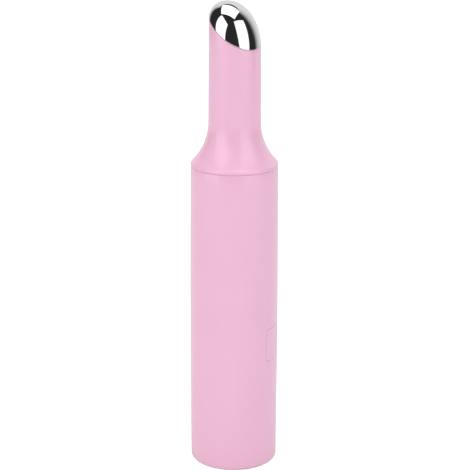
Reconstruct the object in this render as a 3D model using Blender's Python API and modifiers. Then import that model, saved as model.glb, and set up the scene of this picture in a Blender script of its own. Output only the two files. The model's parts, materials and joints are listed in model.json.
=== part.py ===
"""Battery eye massager: a round barrel, a neck that unscrews and a slanted polished massage head.

Metres, +Z up. The origin is the centre of the flat foot. The button looks towards -Y, and the
massage face stands turned a little from it, as the neck comes to rest on its thread.
Run it with: blender --background --python part.py
"""

from math import cos, pi, radians, sin, sqrt, tan

import bmesh
import bpy
from mathutils import Matrix, Vector

# Clearances
seat_gap = 0.00025
running_gap = 0.0003
seal_gap = 0.0001
cut_overrun = 0.002
merge_distance = 0.00001

# Barrel
barrel_radius = 0.0125
barrel_taper = 0.0001
barrel_swell = 0.0002
barrel_height = 0.0885
barrel_wall = 0.0017
barrel_floor = 0.002
foot_fillet = 0.00115
mouth_chamfer = 0.0004
mouth_edge_fillet = 0.00025
boss_radius = 0.0021
boss_sink = 0.0003
boss_length = 0.013
boss_pilot_radius = 0.00105
boss_pilot_depth = 0.0085

# Neck shell
seam_gap = 0.0003
neck_wall = 0.0017
neck_foot_radius = 0.00742
neck_top_radius = 0.00724
neck_length = 0.03869
shoulder_inset = 0.00012
shoulder_band = 0.0003
shoulder_fillet = 0.0007
flare_end_deg = 44.5
rim_slope_deg = 35.1
face_turn_deg = -18.6
rim_fillet = 0.00028
motor_bore_radius = 0.00575
spigot_bore_radius = 0.00535
skirt_wall = 0.0016
skirt_depth = 0.0009
neck_boss_inset = 0.0023
neck_boss_radius = 0.0016
neck_boss_length = 0.0062
neck_boss_cap = 0.0008

# Polished massage head
dome_height = 0.00811
dome_forward = 0.00154
dome_lean_deg = 32.9
dome_seat_drop = 0.00114
rim_gap = 0.0002
spigot_length = 0.0085
spigot_wall = 0.0011
spigot_cavity = 0.0075
head_seal_wire = 0.0003
head_seal_rise = 0.0024
head_groove_depth = 0.0006

# Collar that screws into the barrel's mouth
collar_depth = 0.0088
collar_clearance = 0.00045
collar_wall = 0.00205
collar_top_rise = 0.0017
collar_top_radius = 0.0088
collar_floor = 0.0013
wire_hole_radius = 0.0034
shoulder_seal_wire = 0.0005
shoulder_seal_drop = 0.002
shoulder_groove_depth = 0.0009
groove_play = 0.0002
ledge_rise = 0.0022
ledge_height = 0.0012
ledge_width = 0.0011

# Contact board under the collar
disc_thickness = 0.001
pad_thickness = 0.00025
ring_pad_width = 0.0021
centre_pad_radius = 0.0024
centre_pad_drop = 0.00045

# Cell
cell_radius = 0.00515
cell_length = 0.0445
cell_nub_radius = 0.0019
cell_nub_height = 0.001
cell_edge = 0.0004
cell_base_step = 0.0003

# Chassis
chassis_wall = 0.0011
flange_thickness = 0.0016
flange_drop = 0.0023
shelf_thickness = 0.0014
plate_half_width = 0.005
spine_width = 0.004
foot_thickness = 0.0016
foot_clearance = 0.0004
side_window_height = 0.03
side_window_width = 0.006
side_window_rise = 0.009

# Return spring under the cell and the contact plate that it stands on
spring_height = 0.0046
spring_wire = 0.0003
spring_foot_radius = 0.0036
spring_top_radius = 0.0017
contact_plate_thickness = 0.0003
contact_plate_radius = 0.0044

# Leaf contacts that touch the ring pad
leaf_thickness = 0.00025
leaf_width = 0.0016
leaf_length = 0.0064
leaf_foot_length = 0.0022
leaf_arch_deg = 110.0

# Control board and what stands on it
board_thickness = 0.0008
board_half_width = 0.0048
board_below_button = 0.027
board_above_button = 0.013
switch_half = 0.002
switch_height = 0.0012
plunger_radius = 0.0011
plunger_well_depth = 0.0005
chip_width = 0.0039
chip_length = 0.0049
chip_height = 0.0014
chip_drop = 0.018
lead_width = 0.0004
lead_reach = 0.0009
lead_pitch = 0.00127
lead_thickness = 0.0003
inductor_radius = 0.0022
inductor_height = 0.002
inductor_flange = 0.0004
inductor_neck_radius = 0.0017
inductor_drop = 0.0108

# Power button
button_height_above_foot = 0.0372
button_half_width = 0.0033
button_half_height = 0.0048
button_corner = 0.0012
button_play = 0.00025
button_crown = 0.0001
button_travel = 0.0004
button_flange_margin = 0.0008
button_flange_thickness = 0.00055

# Motor
motor_radius = 0.0041
motor_wall = 0.0004
motor_length = 0.0125
motor_nose_radius = 0.0017
motor_nose_height = 0.0008
motor_cap_thickness = 0.001
motor_shaft_radius = 0.0005
magnet_thickness = 0.0009
armature_radius = 0.0021
armature_margin = 0.0018
terminal_width = 0.0008
terminal_thickness = 0.0003
terminal_length = 0.0013
terminal_offset = 0.0018
shaft_hub_radius = 0.0013
shaft_clearance = 0.0001
sleeve_margin = 0.0009
sleeve_rib_height = 0.0008
sleeve_rib_depth = 0.0003
weight_radius = 0.0041
weight_height = 0.004
weight_rise = 0.0014
shaft_end_rise = 0.0005
wire_radius = 0.00045
lead_notch_width = 0.0014
lead_notch_depth = 0.0024

# Small screws
screw_shank_radius = 0.00075
screw_head_radius = 0.0014
screw_head_height = 0.001
screw_length = 0.0062
screw_hole_play = 0.0003
screw_crown_share = 0.8
screw_slot_width = 0.0004
screw_slot_depth = 0.0004
board_screw_shank_radius = 0.0006
board_screw_head_radius = 0.0011
board_screw_head_height = 0.0007
board_screw_length = 0.0018
board_screw_inset = 0.0022

# Counts
shell_segments = 52
collar_segments = 36
round_segments = 24
small_segments = 14
barrel_steps = 6
dome_rings = 11
flare_steps = 9
inner_flare_steps = 4
fillet_steps = 4
rim_fillet_steps = 2
seal_sides = 6
spring_turns = 4.0
spring_points_per_turn = 10
leaf_steps = 8
wire_steps = 4
lead_count = 4
sleeve_rib_count = 2

# Sizes that follow from those above
bore_radius = barrel_radius - barrel_wall
barrel_mouth_radius = barrel_radius - barrel_taper
neck_bottom = barrel_height + seam_gap
rim_height = barrel_height + neck_length
rim_slope = tan(radians(rim_slope_deg))
dome_lean = tan(radians(dome_lean_deg))
dome_base = rim_height - dome_seat_drop
face_turn = radians(face_turn_deg)
uphill = Vector((-sin(face_turn), cos(face_turn)))
shoulder_radius = barrel_radius - shoulder_inset
skirt_bore = shoulder_radius - skirt_wall
skirt_top = neck_bottom + skirt_depth
flare_end = radians(flare_end_deg)
band_top = neck_bottom + shoulder_band
flare_foot_radius = shoulder_radius - shoulder_fillet * (1 - cos(flare_end))
flare_foot_height = band_top + shoulder_fillet * sin(flare_end)
flare_radius = (flare_foot_radius - neck_foot_radius) / (1 - cos(flare_end))
flare_top_height = flare_foot_height + flare_radius * sin(flare_end)

collar_radius = bore_radius - collar_clearance
collar_bottom = barrel_height - collar_depth
collar_bore = collar_radius - collar_wall
neck_boss_offset = collar_bore - neck_boss_inset
collar_top = neck_bottom + collar_top_rise
disc_radius = collar_bore - running_gap
ring_pad_outer = disc_radius
ring_pad_inner = ring_pad_outer - ring_pad_width
leaf_offset = (ring_pad_inner + ring_pad_outer) / 2
disc_top = collar_bottom + ledge_rise - seat_gap
disc_bottom = disc_top - disc_thickness
pad_bottom = disc_bottom - seal_gap - pad_thickness
centre_pad_bottom = disc_bottom - seal_gap - centre_pad_drop

cell_top = centre_pad_bottom - seat_gap
cell_bottom = cell_top - cell_length
spring_bottom = cell_bottom - seat_gap - spring_height
contact_plate_top = spring_bottom - seal_gap
shelf_top = contact_plate_top - contact_plate_thickness - seat_gap
shelf_bottom = shelf_top - shelf_thickness
cradle_bore = cell_radius + seat_gap
cradle_radius = cradle_bore + chassis_wall
flange_top = collar_bottom - flange_drop
flange_bottom = flange_top - flange_thickness
flange_radius = bore_radius - running_gap
boss_top = flange_bottom - seat_gap
boss_offset = bore_radius - boss_radius + boss_sink

button_centre = button_height_above_foot
button_share = button_centre / barrel_height
button_swell = 4 * barrel_swell * button_share * (1 - button_share)
button_outer = barrel_radius - barrel_taper * button_share + button_swell + button_crown
button_flange_outer = bore_radius - seat_gap
button_flange_inner = button_flange_outer - button_flange_thickness
switch_reach = button_flange_inner - button_travel - seal_gap
switch_front = sqrt(switch_reach**2 - switch_half**2)
switch_back = switch_front - switch_height
board_front = switch_back - seal_gap
board_back = board_front - board_thickness
board_bottom = button_centre - board_below_button
board_top = button_centre + board_above_button
plate_front = board_back - seal_gap
plate_back = cradle_bore + seal_gap
plate_bottom = barrel_floor + seat_gap
plunger_front = button_flange_inner - seal_gap

spigot_radius = spigot_bore_radius - seat_gap
rim_low = rim_height - rim_slope * neck_top_radius
spigot_bottom = rim_height - spigot_length
head_seal_height = spigot_bottom + head_seal_rise
motor_top = spigot_bottom - running_gap - weight_height - weight_rise - shaft_end_rise
motor_bottom = motor_top - motor_length
weight_bottom = motor_top + weight_rise
weight_top = weight_bottom + weight_height
sleeve_top = motor_top - sleeve_margin
neck_boss_top = collar_top + seat_gap + neck_boss_length
sleeve_bottom = max(motor_bottom + sleeve_margin, neck_boss_top + seat_gap)
sleeve_outer = motor_bore_radius - seal_gap
sleeve_inner = motor_radius + seal_gap
bore_step_height = motor_top + motor_nose_height / 2
web_bottom = collar_top - collar_floor


def clear_scene():
    """Empty the file that the script runs in."""
    for item in list(bpy.data.objects):
        bpy.data.objects.remove(item, do_unlink=True)


def new_collection(name):
    collection = bpy.data.collections.new(name)
    bpy.context.scene.collection.children.link(collection)
    return collection


clear_scene()
parts = new_collection("eye_massager")
cutters = new_collection("cutters")


def material(name, srgb, roughness, metallic=0.0):
    """A Principled material. The colour is given as 0 to 255 values of the picture."""
    made = bpy.data.materials.new(name)
    made.use_nodes = True
    shader = made.node_tree.nodes["Principled BSDF"]
    linear = [(value / 255) ** 2.2 for value in srgb]
    shader.inputs["Base Color"].default_value = (*linear, 1.0)
    shader.inputs["Roughness"].default_value = roughness
    shader.inputs["Metallic"].default_value = metallic
    made.diffuse_color = (*linear, 1.0)
    return made


pink_plastic = material("pink_plastic", (240, 187, 214), 0.38)
mirror_metal = material("mirror_metal", (205, 205, 208), 0.05, 1.0)
white_plastic = material("white_plastic", (226, 224, 220), 0.5)
board_green = material("board_green", (38, 98, 66), 0.5)
black_plastic = material("black_plastic", (28, 28, 30), 0.45)
black_rubber = material("black_rubber", (35, 34, 36), 0.8)
spring_steel = material("spring_steel", (190, 190, 192), 0.25, 1.0)
gold_contact = material("gold_contact", (214, 176, 92), 0.25, 1.0)
motor_steel = material("motor_steel", (170, 172, 174), 0.3, 1.0)
tungsten = material("tungsten", (120, 120, 124), 0.45, 1.0)
ferrite = material("ferrite", (52, 50, 52), 0.7)
cell_jacket = material("cell_jacket", (62, 66, 74), 0.35)
red_wire = material("red_wire", (180, 38, 36), 0.5)
blue_wire = material("blue_wire", (36, 62, 140), 0.5)


def place(name, mesh, collection, finish=None):
    """Link a mesh as a named object with its material."""
    item = bpy.data.objects.new(name, mesh)
    collection.objects.link(item)
    if finish is not None:
        mesh.materials.append(finish)
    if collection is cutters:
        item.hide_render = True
        item.display_type = "WIRE"
    return item


def smooth(item, angle_deg=35.0):
    """Shade a round piece smooth and keep its real edges sharp."""
    item.data.shade_smooth()
    item.data.set_sharp_from_angle(angle=radians(angle_deg))
    return item


def evaluated_mesh(item):
    """A plain mesh of what an object's modifiers make of it."""
    bpy.context.view_layer.update()
    graph = bpy.context.evaluated_depsgraph_get()
    mesh = bpy.data.meshes.new_from_object(item.evaluated_get(graph))
    mesh.name = item.name
    return mesh


def settle(item):
    """Replace an object's mesh by its evaluated one, so that it can be cut, sheared or joined."""
    mesh = evaluated_mesh(item)
    item.modifiers.clear()
    item.data = mesh
    return item


def turned(name, profile, collection, finish=None, segments=round_segments, closed=False):
    """Turn a profile of (radius, height) about Z. It runs down its outer side, top to bottom."""
    mesh = bpy.data.meshes.new(name)
    count = len(profile)
    edges = [(i, i + 1) for i in range(count - 1)]
    if closed:
        edges.append((count - 1, 0))
    mesh.from_pydata([(radius, 0, height) for radius, height in profile], edges, [])
    item = place(name, mesh, collection, finish)
    screw = item.modifiers.new("turn", "SCREW")
    screw.axis = "Z"
    screw.steps = segments
    screw.render_steps = segments
    screw.use_merge_vertices = True
    screw.merge_threshold = merge_distance
    settle(item)
    return smooth(item)


def disc(name, radius, bottom, top, collection, finish=None, segments=round_segments):
    """A plain round bar or disc on the Z axis."""
    profile = [(0, top), (radius, top), (radius, bottom), (0, bottom)]
    return turned(name, profile, collection, finish, segments)


def ring(name, inner, outer, bottom, top, collection, finish=None, segments=round_segments):
    """A plain washer or tube on the Z axis."""
    profile = [(inner, top), (outer, top), (outer, bottom), (inner, bottom)]
    return turned(name, profile, collection, finish, segments, closed=True)


def seal_ring(name, middle, wire, height, finish):
    """An O-ring: a small circle turned about Z."""
    step = 2 * pi / seal_sides
    profile = [
        (middle + wire * cos(-i * step), height + wire * sin(-i * step))
        for i in range(seal_sides)
    ]
    return turned(name, profile, parts, finish, collar_segments, closed=True)


def block(name, low, high, collection, finish=None):
    """A box between two corners."""
    low, high = Vector(low), Vector(high)
    bm = bmesh.new()
    bmesh.ops.create_cube(bm, size=1)
    size = high - low
    bmesh.ops.scale(bm, vec=size, verts=bm.verts)
    bmesh.ops.translate(bm, vec=(low + high) / 2, verts=bm.verts)
    mesh = bpy.data.meshes.new(name)
    bm.to_mesh(mesh)
    bm.free()
    return place(name, mesh, collection, finish)


def rounded_prism(name, half_width, half_height, corner, depth_from, depth_to, collection):
    """A rounded rectangle in X and Z about the button's centre, drawn out along -Y."""
    curve = bpy.data.curves.new(name, "CURVE")
    curve.dimensions = "2D"
    curve.fill_mode = "BOTH"
    curve.extrude = (depth_to - depth_from) / 2
    outline = []
    for quarter, (sx, sz) in enumerate(((1, 1), (-1, 1), (-1, -1), (1, -1))):
        for step in range(fillet_steps + 1):
            angle = (quarter + step / fillet_steps) * pi / 2
            x = sx * (half_width - corner) + corner * cos(angle)
            z = sz * (half_height - corner) + corner * sin(angle)
            outline.append((x, z))
    spline = curve.splines.new("POLY")
    spline.points.add(len(outline) - 1)
    for point, (x, z) in zip(spline.points, outline):
        point.co = (x, z, 0, 1)
    spline.use_cyclic_u = True
    guide = bpy.data.objects.new(name + "_outline", curve)
    cutters.objects.link(guide)
    mesh = weld(evaluated_mesh(guide))
    bpy.data.objects.remove(guide, do_unlink=True)
    mesh.transform(Matrix.Rotation(pi / 2, 4, "X"))
    mesh.transform(Matrix.Translation((0, -(depth_from + depth_to) / 2, button_centre)))
    return place(name, mesh, collection)


def weld(mesh):
    """Join points that lie on each other, and turn all faces outwards."""
    bm = bmesh.new()
    bm.from_mesh(mesh)
    bmesh.ops.remove_doubles(bm, verts=bm.verts, dist=merge_distance)
    bmesh.ops.recalc_face_normals(bm, faces=bm.faces)
    bm.to_mesh(mesh)
    bm.free()
    return mesh


def boolean(item, tool, operation):
    """Cut, join or keep what is common, and settle the result. The tool object is used up."""
    step = item.modifiers.new(operation.lower(), "BOOLEAN")
    step.operation = operation
    step.object = tool
    step.solver = "EXACT"
    settle(item)
    weld(item.data)
    bpy.data.objects.remove(tool, do_unlink=True)
    return item


def cut(item, tool):
    return boolean(item, tool, "DIFFERENCE")


def join(item, tool):
    return boolean(item, tool, "UNION")


def moved(item, offset):
    """Shift a piece's mesh, before it is cut or joined."""
    item.data.transform(Matrix.Translation(offset))
    return item


def along_y(item, depth, height, x=0):
    """Lay a piece that was turned about Z along -Y, with its foot at that depth and height."""
    item.data.transform(Matrix.Rotation(pi / 2, 4, "X"))
    item.data.transform(Matrix.Translation((x, -depth, height)))
    return item


def arc(centre, radius, start, end, steps):
    """Points of an arc as (radius, height), from the start angle to the end angle."""
    return [
        (
            centre[0] + radius * cos(start + (end - start) * i / steps),
            centre[1] + radius * sin(start + (end - start) * i / steps),
        )
        for i in range(steps + 1)
    ]


def rim_cutter(name, offset, above):
    """A block that removes all that lies above, or below, the neck's slanted and turned rim."""
    reach = 2 * neck_length
    low, high = ((-reach, -reach, 0), (reach, reach, reach))
    if not above:
        low, high = ((-reach, -reach, -reach), (reach, reach, 0))
    tool = block(name, low, high, cutters)
    tool.data.transform(Matrix.Rotation(radians(rim_slope_deg), 4, "X"))
    tool.data.transform(Matrix.Rotation(face_turn, 4, "Z"))
    tool.data.transform(Matrix.Translation((0, 0, rim_height + offset)))
    return tool


def build_barrel():
    """The lower casing: a deep cup with a rounded foot, a button opening and two screw bosses."""
    outer_foot = arc(
        (barrel_radius - foot_fillet, foot_fillet), foot_fillet, 0, -pi / 2, fillet_steps
    )
    mouth_round = arc(
        (barrel_mouth_radius - mouth_edge_fillet, barrel_height - mouth_edge_fillet),
        mouth_edge_fillet,
        pi / 2,
        0,
        2,
    )
    wall = []
    for i in range(1, barrel_steps):
        share = 1 - i / barrel_steps
        swell = 4 * barrel_swell * share * (1 - share)
        radius = barrel_radius - barrel_taper * share + swell
        wall.append((radius, barrel_height * share))
    outer = mouth_round + wall + outer_foot + [(0, 0)]
    inner_foot = barrel_floor + foot_fillet / 2
    inner = [
        (0, barrel_floor),
        (bore_radius - foot_fillet / 2, barrel_floor),
        (bore_radius, inner_foot),
        (bore_radius, barrel_height - mouth_chamfer),
        (bore_radius + mouth_chamfer, barrel_height),
    ]
    shell = turned("barrel_shell", inner + outer, parts, pink_plastic, shell_segments)
    for side in (-1, 1):
        boss = disc("boss", boss_radius, boss_top - boss_length, boss_top, cutters)
        join(shell, moved(boss, (side * boss_offset, 0, 0)))
    for side in (-1, 1):
        pilot = disc(
            "pilot",
            boss_pilot_radius,
            boss_top - boss_pilot_depth,
            boss_top + cut_overrun,
            cutters,
            segments=small_segments,
        )
        cut(shell, moved(pilot, (side * boss_offset, 0, 0)))
    opening = rounded_prism(
        "opening",
        button_half_width + button_play,
        button_half_height + button_play,
        button_corner + button_play,
        bore_radius - cut_overrun,
        barrel_radius + cut_overrun,
        cutters,
    )
    cut(shell, opening)
    return smooth(shell)


def build_neck():
    """The upper casing: shoulder, flare and slim neck, cut off at a slant for the massage head."""
    centre = (neck_foot_radius + flare_radius, flare_top_height)
    flare = arc(centre, flare_radius, pi, pi + flare_end, flare_steps)
    fillet = arc(
        (shoulder_radius - shoulder_fillet, band_top),
        shoulder_fillet,
        flare_end,
        0,
        fillet_steps,
    )
    top = rim_height + neck_length
    outer = [(neck_top_radius, top), (neck_top_radius, rim_low)] + flare + fillet[1:]
    outer += arc(
        (shoulder_radius - mouth_edge_fillet, neck_bottom + mouth_edge_fillet),
        mouth_edge_fillet,
        0,
        -pi / 2,
        2,
    )
    inner_radius = flare_radius + neck_wall
    inner = [(skirt_bore, neck_bottom), (skirt_bore, skirt_top)]
    for i in range(inner_flare_steps, -1, -1):
        angle = flare_end * i / inner_flare_steps
        radius = centre[0] - inner_radius * cos(angle)
        height = centre[1] - inner_radius * sin(angle)
        if height > skirt_top and radius > motor_bore_radius:
            inner.append((radius, height))
    inner.append((motor_bore_radius, inner[-1][1] + neck_wall))
    inner += [
        (motor_bore_radius, bore_step_height),
        (spigot_bore_radius, bore_step_height),
        (spigot_bore_radius, top),
    ]
    shell = turned("neck_shell", outer + inner, parts, pink_plastic, shell_segments, closed=True)
    cut(shell, rim_cutter("rim", 0, above=True))
    round_outer_rim(shell)
    boss_foot = neck_boss_top - neck_boss_length
    for side in (-1, 1):
        boss = disc("boss", neck_boss_radius, boss_foot, neck_boss_top, cutters)
        join(shell, moved(boss, (side * neck_boss_offset, 0, 0)))
    for side in (-1, 1):
        pilot = disc(
            "pilot",
            screw_shank_radius + screw_hole_play,
            boss_foot - cut_overrun,
            neck_boss_top - neck_boss_cap,
            cutters,
            segments=small_segments,
        )
        cut(shell, moved(pilot, (side * neck_boss_offset, 0, 0)))
    return smooth(shell)


def round_outer_rim(shell):
    """Round the outer edge of the neck's slanted rim."""
    bm = bmesh.new()
    bm.from_mesh(shell.data)

    def on_rim(point):
        level = abs(point.z - rim_height - rim_slope * point.xy.dot(uphill)) < merge_distance
        return level and point.xy.length > neck_top_radius - merge_distance

    edges = [edge for edge in bm.edges if all(on_rim(vert.co) for vert in edge.verts)]
    bmesh.ops.bevel(
        bm, geom=edges, offset=rim_fillet, offset_type="OFFSET", segments=rim_fillet_steps,
        profile=0.5, affect="EDGES", clamp_overlap=True, material=-1,
    )
    bmesh.ops.recalc_face_normals(bm, faces=bm.faces)
    bm.to_mesh(shell.data)
    bm.free()


def leaned(dome):
    """Lean the dome up the slope, and give it more height on the low side than on the high."""
    bm = bmesh.new()
    bm.from_mesh(dome.data)
    for vert in bm.verts:
        along = vert.co.xy.dot(uphill)
        share = max(0, vert.co.z - dome_base) / dome_height
        vert.co.z += dome_lean * along - dome_forward * share * along / neck_top_radius
    bmesh.ops.triangulate(bm, faces=bm.faces)
    bm.to_mesh(dome.data)
    bm.free()
    return dome


def build_massage_head():
    """The polished metal cap: a leaning dome on a slanted seat, with a hollow spigot below."""
    wall_foot = rim_low - cut_overrun
    profile = arc((0, 0), 1, pi / 2, 0, dome_rings)
    profile = [(neck_top_radius * x, dome_base + dome_height * z) for x, z in profile]
    profile[0] = (0, dome_base + dome_height)
    profile += [(neck_top_radius, wall_foot), (0, wall_foot)]
    head = leaned(turned("massage_head", profile, parts, mirror_metal, shell_segments))
    cut(head, rim_cutter("seat", rim_gap, above=False))
    spigot_top = rim_height + neck_length
    groove_floor = spigot_radius - head_groove_depth
    groove_half = head_seal_wire + groove_play
    spigot = turned(
        "spigot",
        [
            (0, spigot_top),
            (spigot_radius, spigot_top),
            (spigot_radius, head_seal_height + groove_half),
            (groove_floor, head_seal_height + groove_half),
            (groove_floor, head_seal_height - groove_half),
            (spigot_radius, head_seal_height - groove_half),
            (spigot_radius, spigot_bottom),
            (0, spigot_bottom),
        ],
        cutters,
        segments=collar_segments,
    )
    cut(spigot, rim_cutter("spigot_end", cut_overrun, above=True))
    join(head, spigot)
    cavity_radius = spigot_radius - spigot_wall
    cut(head, disc("cavity", cavity_radius, spigot_bottom - cut_overrun,
                   spigot_bottom + spigot_cavity, cutters))
    return smooth(head)


def build_seals():
    """The rubber ring at the shoulder and the small one on the massage head's spigot."""
    floor = collar_radius - shoulder_groove_depth
    seal_ring("shoulder_seal", floor + seal_gap + shoulder_seal_wire, shoulder_seal_wire,
              barrel_height - shoulder_seal_drop, black_rubber)
    floor = spigot_radius - head_groove_depth
    seal_ring("head_seal", floor + seal_gap + head_seal_wire, head_seal_wire,
              head_seal_height, black_rubber)


def build_collar():
    """The collar under the neck: its threaded wall enters the barrel, its web carries screws."""
    groove_height = barrel_height - shoulder_seal_drop
    groove_half = shoulder_seal_wire + groove_play
    groove_floor = collar_radius - shoulder_groove_depth
    collar_step = skirt_top - seat_gap
    ledge_radius = collar_bore - ledge_width
    ledge_bottom = collar_bottom + ledge_rise
    outer = [
        (collar_top_radius, collar_top),
        (collar_top_radius, collar_step),
        (collar_radius, collar_step),
        (collar_radius, groove_height + groove_half),
        (groove_floor, groove_height + groove_half),
        (groove_floor, groove_height - groove_half),
        (collar_radius, groove_height - groove_half),
        (collar_radius, collar_bottom),
    ]
    inner = [
        (collar_bore, collar_bottom),
        (collar_bore, ledge_bottom),
        (ledge_radius, ledge_bottom),
        (ledge_radius, ledge_bottom + ledge_height),
        (collar_bore, ledge_bottom + ledge_height + ledge_width),
        (collar_bore, web_bottom),
        (wire_hole_radius, web_bottom),
        (wire_hole_radius, collar_top),
    ]
    collar = turned("threaded_collar", outer + inner, parts, white_plastic, collar_segments,
                    closed=True)
    for side in (-1, 1):
        hole = disc("hole", screw_shank_radius + screw_hole_play, web_bottom - cut_overrun,
                    collar_top + cut_overrun, cutters, segments=small_segments)
        cut(collar, moved(hole, (side * neck_boss_offset, 0, 0)))
    return smooth(collar)


def build_contact_board():
    """The round contact board under the collar, with its centre pad and its ring pad."""
    disc("contact_board", disc_radius, disc_bottom, disc_top, parts, board_green, collar_segments)
    disc("centre_contact", centre_pad_radius, centre_pad_bottom, disc_bottom - seal_gap, parts,
         gold_contact)
    ring("ring_contact", ring_pad_inner, ring_pad_outer - seat_gap, pad_bottom,
         disc_bottom - seal_gap, parts, gold_contact)


def build_cell():
    """The round cell, standing on its spring with its nub against the centre contact."""
    shoulder = cell_top - cell_nub_height
    profile = [
        (0, cell_top),
        (cell_nub_radius, cell_top),
        (cell_nub_radius, shoulder),
        (cell_radius - cell_edge, shoulder),
        (cell_radius, shoulder - cell_edge),
        (cell_radius, cell_bottom + cell_base_step),
        (cell_radius - cell_edge, cell_bottom + cell_base_step),
        (cell_radius - cell_edge, cell_bottom),
        (0, cell_bottom),
    ]
    return turned("battery_cell", profile, parts, cell_jacket)


def build_chassis():
    """The inner frame: foot disc, board plate, spine, cell cradle and the flange on its top."""
    foot_radius = bore_radius - foot_fillet / 2 - foot_clearance
    foot_top = plate_bottom + foot_thickness
    profile = [
        (flange_radius, flange_top),
        (flange_radius, flange_bottom),
        (cradle_radius, flange_bottom),
        (cradle_radius, shelf_bottom),
        (0, shelf_bottom),
    ]
    inner = [(0, shelf_top), (cradle_bore, shelf_top), (cradle_bore, flange_top)]
    chassis = turned("chassis", inner + profile, parts, white_plastic, collar_segments)
    plate_top = board_top + board_screw_inset
    join(chassis, block("plate", (-plate_half_width, -plate_front, foot_top - cut_overrun / 2),
                        (plate_half_width, -plate_back, plate_top), cutters))
    join(chassis, block("spine", (-spine_width / 2, plate_back, foot_top - cut_overrun / 2),
                        (spine_width / 2, plate_front, plate_top), cutters))
    join(chassis, disc("foot", foot_radius, plate_bottom, foot_top, cutters,
                       segments=collar_segments))
    window_low = shelf_top + side_window_rise
    for side in (-1, 1):
        near, far = side * cradle_bore / 2, side * (cradle_radius + cut_overrun)
        cut(chassis, block(
            "window",
            (min(near, far), -side_window_width / 2, window_low),
            (max(near, far), side_window_width / 2, window_low + side_window_height),
            cutters,
        ))
    hole_radius = screw_shank_radius + screw_hole_play
    for side in (-1, 1):
        hole = disc("hole", hole_radius, flange_bottom - cut_overrun, flange_top + cut_overrun,
                    cutters, segments=small_segments)
        cut(chassis, moved(hole, (side * boss_offset, 0, 0)))
    for height in board_screw_heights():
        hole = disc("hole", board_screw_shank_radius + screw_hole_play / 2, 0,
                    board_screw_length + cut_overrun, cutters, segments=small_segments)
        cut(chassis, along_y(hole, board_front - board_screw_length, height))
    cut(chassis, block(
        "tab_slot",
        (-leaf_width, -plate_front - cut_overrun, shelf_top - seal_gap),
        (leaf_width, -cradle_bore + cut_overrun / 2,
         contact_plate_top + contact_plate_thickness),
        cutters,
    ))
    lead_x = lead_notch_middle()
    cut(chassis, block(
        "lead_notch",
        (lead_x - lead_notch_width / 2, -flange_radius - cut_overrun, flange_bottom - cut_overrun),
        (lead_x + lead_notch_width / 2, -flange_radius + lead_notch_depth,
         flange_top + cut_overrun),
        cutters,
    ))
    return smooth(chassis)


def board_screw_heights():
    return (board_bottom + board_screw_inset, board_top - board_screw_inset)


def lead_notch_middle():
    """The lead passes the flange beside the leaf's foot."""
    return -leaf_length / 2 + leaf_foot_length / 2


def build_spring():
    """The tapered return spring: one wire, wide at its foot and narrow under the cell."""
    points = []
    count = round(spring_turns * spring_points_per_turn)
    low = spring_bottom + spring_wire
    high = spring_bottom + spring_height - spring_wire
    for i in range(count + 1):
        share = i / count
        radius = spring_foot_radius + (spring_top_radius - spring_foot_radius) * share
        angle = 2 * pi * spring_turns * share
        points.append((radius * cos(angle), radius * sin(angle), low + (high - low) * share))
    least = min(
        (Vector(a) - Vector(b)).length
        for i, a in enumerate(points)
        for b in points[i + spring_points_per_turn // 2:]
    )
    print("least gap of the spring to itself, mm:", round((least - 2 * spring_wire) * 1000, 3))
    return wire("battery_spring", points, spring_wire, spring_steel, bevel_resolution=1)


def wire(name, points, radius, finish, bevel_resolution=1):
    """A round wire through points, as a closed mesh with flat ends."""
    curve = bpy.data.curves.new(name, "CURVE")
    curve.dimensions = "3D"
    curve.bevel_depth = radius
    curve.bevel_resolution = bevel_resolution
    curve.use_fill_caps = True
    spline = curve.splines.new("POLY")
    spline.points.add(len(points) - 1)
    for point, place_at in zip(spline.points, points):
        point.co = (*place_at, 1)
    guide = bpy.data.objects.new(name + "_route", curve)
    cutters.objects.link(guide)
    mesh = weld(evaluated_mesh(guide))
    bpy.data.objects.remove(guide, do_unlink=True)
    mesh.materials.clear()
    return smooth(place(name, mesh, parts, finish))


def rounded_route(points, steps):
    """A smooth route through a few points, with tangents no longer than the stretch they end."""
    route = [Vector(p) for p in points]
    ahead = route[1:] + [route[-1] * 2 - route[-2]]
    behind = [route[0] * 2 - route[1]] + route[:-1]
    headings = [(b - a).normalized() for a, b in zip(behind, ahead)]
    out = []
    for i, (start, end) in enumerate(zip(route, route[1:])):
        span = (end - start).length
        for step in range(steps):
            t = step / steps
            out.append(
                start * (1 + t * t * (t + t - 3))
                + end * (t * t * (3 - t - t))
                + headings[i] * (span * t * (1 - t) ** 2)
                + headings[i + 1] * (span * t * t * (t - 1))
            )
    out.append(route[-1])
    return out


def build_spring_contact():
    """The round contact plate under the spring, with a tab that reaches the control board."""
    plate_low = contact_plate_top - contact_plate_thickness
    plate = disc("spring_contact", contact_plate_radius, plate_low, contact_plate_top, parts,
                 gold_contact)
    tab = block("tab", (-leaf_width / 2, -plate_front, plate_low),
                (leaf_width / 2, -contact_plate_radius / 2, contact_plate_top), cutters)
    return smooth(join(plate, tab))


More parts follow.
